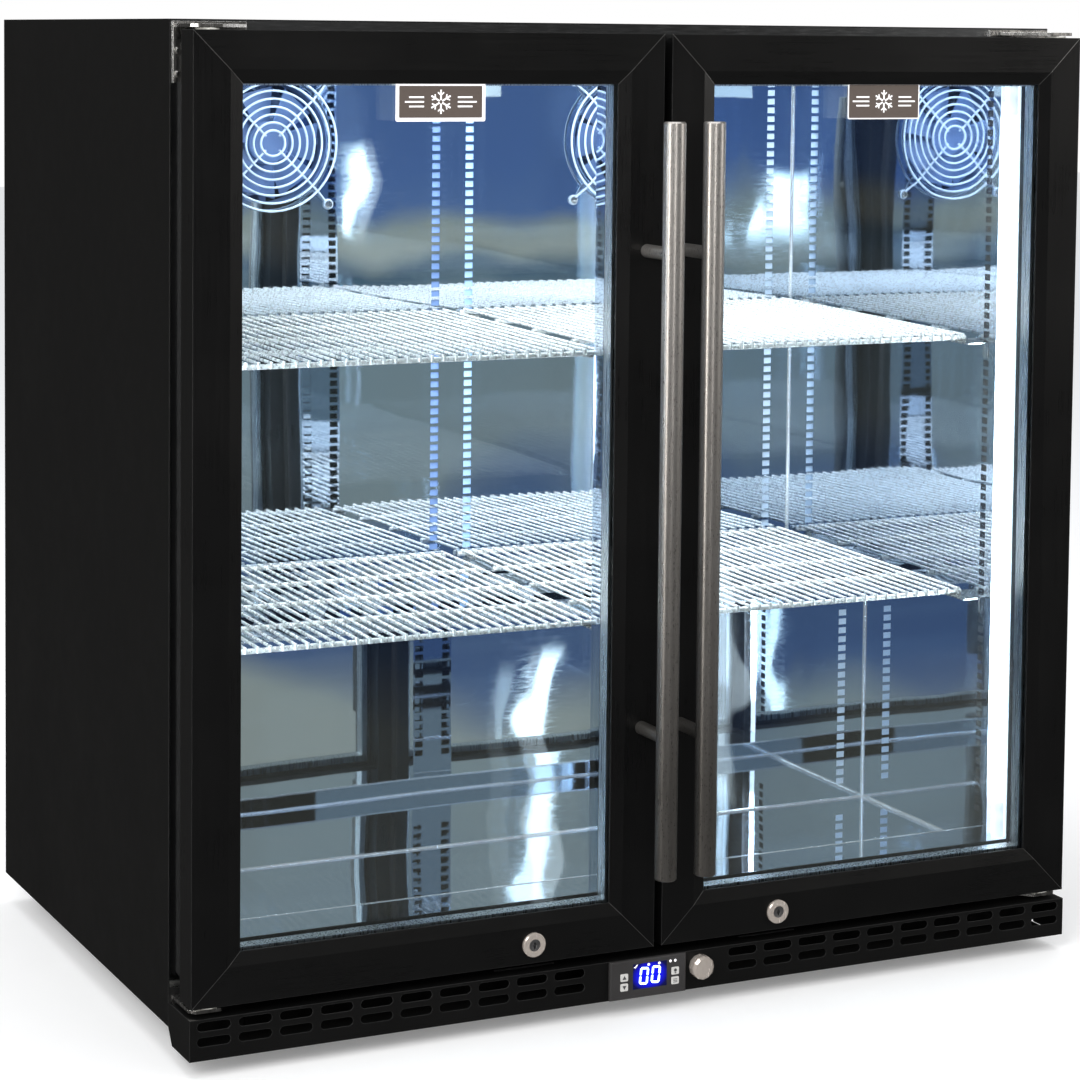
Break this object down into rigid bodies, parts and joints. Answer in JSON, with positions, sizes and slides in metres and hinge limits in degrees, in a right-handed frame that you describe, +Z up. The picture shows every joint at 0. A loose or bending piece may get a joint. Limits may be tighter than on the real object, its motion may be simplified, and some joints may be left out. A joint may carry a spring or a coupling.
{
  "type": "under counter fridge",
  "caption": "Glass-front under-counter drinks fridge with hinged doors, bar handles, wire shelves, a vented plinth and a digital control panel.",
  "frame": {"origin": "on the floor under the middle of the bounding box, which the door handles reach at the front and the cabinet's back at the rear", "axes": "+X to the right seen from the front, +Y to the back, +Z up; the doors face -Y"},
  "size_m": [0.9, 0.63, 0.9],
  "materials": {
    "black_steel": "satin black powder coat",
    "galvanised_steel": "zinc-coated",
    "foam": "rigid foam",
    "polished_steel": "mirror-polished",
    "bright_wire": "bright wire",
    "bright_screws": "bright stainless",
    "black_plastic": "moulded",
    "grey_plastic": "moulded",
    "fin_aluminium": "mill finish fins",
    "satin_aluminium": "satin",
    "milky_plastic": "translucent white, lit from inside",
    "compressor_black": "gloss black",
    "soft_rubber": "moulded",
    "copper": "drawn tube",
    "panel_plastic": "dark grey, fine texture",
    "display_glass": "smoked blue",
    "lit_digits": "lit from inside",
    "button_plastic": "light grey, soft",
    "chrome": "polished",
    "foot_steel": "zinc-coated",
    "black_aluminium": "black anodised, satin",
    "clear_glass": "clear",
    "gasket_rubber": "soft, matt",
    "handle_steel": "dark brushed",
    "nylon": "smooth"
  },
  "bodies": {
    "cabinet": {"outer_casing": "black_steel", "back_panel": "galvanised_steel", "base_pan": "galvanised_steel", "insulation": "foam", "inner_liner": "polished_steel", "front_frame": "polished_steel", "centre_mullion": "polished_steel", "evaporator_cover": "polished_steel", "fan_guards": "bright_wire", "guard_screws": "bright_screws", "fan_frames": "black_plastic", "evaporator_coil": "fin_aluminium", "light_channels": "satin_aluminium", "light_covers": "milky_plastic", "shelf_upper_left": "bright_wire", "shelf_upper_right": "bright_wire", "shelf_lower_left": "bright_wire", "shelf_lower_right": "bright_wire", "shelf_clips": "bright_screws", "compressor": "compressor_black", "compressor_mounts": "soft_rubber", "condenser_coil": "fin_aluminium", "condenser_shroud": "galvanised_steel", "refrigerant_pipes": "copper", "drip_tray": "black_plastic", "rear_cover": "black_steel", "power_cord": "soft_rubber", "kick_grille": "black_steel", "plinth_bracket": "galvanised_steel", "controller_case": "panel_plastic", "display_window": "display_glass", "display_digits": "lit_digits", "levelling_feet": "foot_steel", "hinge_brackets": "bright_screws", "hinge_screws": "bright_screws"},
    "evaporator_fan_left": {"fan_blades_left": "grey_plastic"},
    "evaporator_fan_right": {"fan_blades_right": "grey_plastic"},
    "condenser_fan": {"condenser_blades": "grey_plastic"},
    "button_up": {"button_up": "button_plastic"},
    "button_down": {"button_down": "button_plastic"},
    "button_lamp": {"button_lamp": "button_plastic"},
    "button_set": {"button_set": "button_plastic"},
    "thumb_screw": {"thumb_screw": "chrome"},
    "door_left": {"door_frame_left": "black_aluminium", "door_glass_left": "clear_glass", "glass_spacer_left": "satin_aluminium", "door_gasket_left": "gasket_rubber", "door_handle_left": "handle_steel", "lock_body_left": "chrome", "hinge_bushes_left": "nylon"},
    "lock_left": {"lock_plug_left": "chrome"},
    "door_right": {"door_frame_right": "black_aluminium", "door_glass_right": "clear_glass", "glass_spacer_right": "satin_aluminium", "door_gasket_right": "gasket_rubber", "door_handle_right": "handle_steel", "lock_body_right": "chrome", "hinge_bushes_right": "nylon"},
    "lock_right": {"lock_plug_right": "chrome"}
  },
  "joints": [
    {"name": "door_left_hinge", "type": "hinge", "parent": "cabinet", "child": "door_left", "pos_m": [-0.4305, -0.239, 0.4755], "axis": [0, 0, -1], "range_deg": [0, 110]},
    {"name": "lock_left_turn", "type": "hinge", "parent": "door_left", "child": "lock_left", "pos_m": [-0.126, -0.255, 0.077], "axis": [0, 1, 0], "range_deg": [0, 90]},
    {"name": "evaporator_fan_left_spin", "type": "hinge", "parent": "cabinet", "child": "evaporator_fan_left", "pos_m": [-0.203, 0.225, 0.778], "axis": [0, 1, 0], "continuous": true},
    {"name": "door_right_hinge", "type": "hinge", "parent": "cabinet", "child": "door_right", "pos_m": [0.4305, -0.239, 0.4755], "axis": [0, 0, 1], "range_deg": [0, 110]},
    {"name": "lock_right_turn", "type": "hinge", "parent": "door_right", "child": "lock_right", "pos_m": [0.126, -0.255, 0.077], "axis": [0, -1, 0], "range_deg": [0, 90]},
    {"name": "evaporator_fan_right_spin", "type": "hinge", "parent": "cabinet", "child": "evaporator_fan_right", "pos_m": [0.203, 0.225, 0.778], "axis": [0, 1, 0], "continuous": true},
    {"name": "condenser_fan_spin", "type": "hinge", "parent": "cabinet", "child": "condenser_fan", "pos_m": [0.18, 0.16, 0.15], "axis": [0, 1, 0], "continuous": true},
    {"name": "button_up_press", "type": "slide", "parent": "cabinet", "child": "button_up", "axis": [0, 1, 0], "range_m": [0, 0.0008], "stiffness_N_per_m": 400},
    {"name": "button_down_press", "type": "slide", "parent": "cabinet", "child": "button_down", "axis": [0, 1, 0], "range_m": [0, 0.0008], "stiffness_N_per_m": 400},
    {"name": "button_lamp_press", "type": "slide", "parent": "cabinet", "child": "button_lamp", "axis": [0, 1, 0], "range_m": [0, 0.0008], "stiffness_N_per_m": 400},
    {"name": "button_set_press", "type": "slide", "parent": "cabinet", "child": "button_set", "axis": [0, 1, 0], "range_m": [0, 0.0008], "stiffness_N_per_m": 400},
    {"name": "thumb_screw_turn", "type": "hinge", "parent": "cabinet", "child": "thumb_screw", "pos_m": [0.044, -0.255, 0.036], "axis": [0, 1, 0], "continuous": true}
  ]
}
